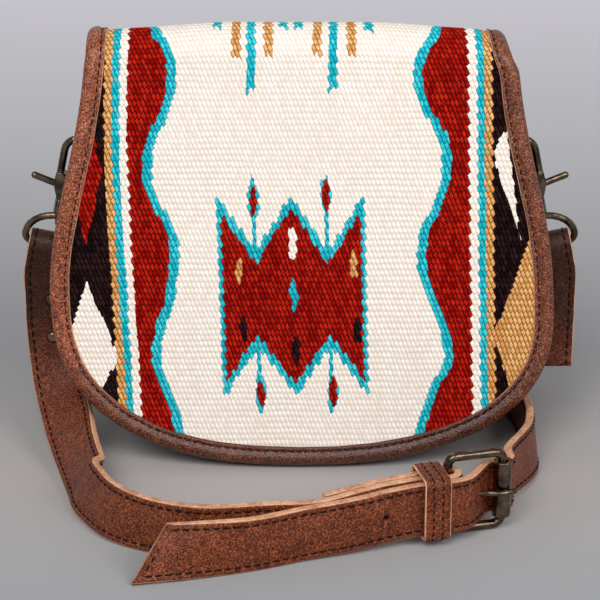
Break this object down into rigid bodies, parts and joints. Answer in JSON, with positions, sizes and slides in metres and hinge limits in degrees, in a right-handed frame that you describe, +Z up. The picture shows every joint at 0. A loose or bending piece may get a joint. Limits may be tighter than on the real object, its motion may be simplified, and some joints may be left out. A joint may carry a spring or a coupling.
{
  "type": "crossbody bag",
  "caption": "Crossbody bag with a woven flap bound in leather, a tapering leather body, snap hooks on D-rings and a folded, buckled strap.",
  "frame": {"origin": "centre of the flat underside, where the gusset rests on the floor", "axes": "+Z up, -Y to the front of the bag, +X to its right as seen from the front"},
  "size_m": [0.2722, 0.2737, 0.2139],
  "materials": {
    "brown_leather": "pebbled, waxed",
    "woven_wool": "hand-woven, ribbed",
    "antique_brass": "darkened",
    "plated_steel": "satin"
  },
  "bodies": {
    "bag": {"front_panel": "brown_leather", "back_panel": "brown_leather", "gusset": "brown_leather", "flap_back_strip": "brown_leather", "snap_socket": "plated_steel", "ring_tab_left": "brown_leather", "ring_tab_right": "brown_leather", "swivel_eye_left": "antique_brass", "swivel_eye_right": "antique_brass", "strap_short": "brown_leather", "strap_long": "brown_leather", "buckle_frame": "antique_brass", "strap_keeper": "brown_leather", "rivet_left_upper": "antique_brass", "rivet_left_lower": "antique_brass", "rivet_right_upper": "antique_brass", "rivet_right_lower": "antique_brass"},
    "flap": {"flap_panel": "woven_wool", "flap_binding": "brown_leather", "snap_stud": "plated_steel"},
    "prong": {"buckle_prong": "antique_brass"},
    "roller": {"buckle_roller": "antique_brass"},
    "ring_left": {"d_ring_left": "antique_brass"},
    "hook_body_left": {"hook_left": "antique_brass", "gate_pin_left": "plated_steel"},
    "gate_left": {"hook_gate_left": "antique_brass"},
    "ring_right": {"d_ring_right": "antique_brass"},
    "hook_body_right": {"hook_right": "antique_brass", "gate_pin_right": "plated_steel"},
    "gate_right": {"hook_gate_right": "antique_brass"}
  },
  "joints": [
    {"name": "flap_hinge", "type": "hinge", "parent": "bag", "child": "flap", "pos_m": [0, 0.0179, 0.19345], "axis": [-1, 0, 0], "range_deg": [0, 110]},
    {"name": "d_ring_left_swing", "type": "hinge", "parent": "bag", "child": "ring_left", "pos_m": [-0.1023, 0, 0.16436], "axis": [0, 1, 0], "range_deg": [-3, 3]},
    {"name": "hook_left_swivel", "type": "hinge", "parent": "bag", "child": "hook_body_left", "pos_m": [-0.1155, 0, 0.121], "axis": [0.2079, 0, 0.9781], "range_deg": [-12, 12]},
    {"name": "hook_gate_left_pivot", "type": "hinge", "parent": "hook_body_left", "child": "gate_left", "pos_m": [-0.10626, 0, 0.13079], "axis": [0, -1, 0], "range_deg": [0, 18], "stiffness_Nm_per_rad": 0.05, "springref_deg": -20.05},
    {"name": "d_ring_right_swing", "type": "hinge", "parent": "bag", "child": "ring_right", "pos_m": [0.1023, 0, 0.16436], "axis": [0, 1, 0], "range_deg": [-3, 3]},
    {"name": "hook_right_swivel", "type": "hinge", "parent": "bag", "child": "hook_body_right", "pos_m": [0.1155, 0, 0.121], "axis": [-0.2079, 0, 0.9781], "range_deg": [-12, 12]},
    {"name": "hook_gate_right_pivot", "type": "hinge", "parent": "hook_body_right", "child": "gate_right", "pos_m": [0.10626, 0, 0.13079], "axis": [0, 1, 0], "range_deg": [0, 18], "stiffness_Nm_per_rad": 0.05, "springref_deg": -20.05},
    {"name": "buckle_prong_pivot", "type": "hinge", "parent": "bag", "child": "prong", "pos_m": [0.06735, -0.11184, 0.0209], "axis": [0, 0, -1], "range_deg": [0, 2]},
    {"name": "buckle_roller_spin", "type": "hinge", "parent": "bag", "child": "roller", "pos_m": [0.09305, -0.10496, 0.0209], "axis": [0, 0, 1], "continuous": true}
  ]
}
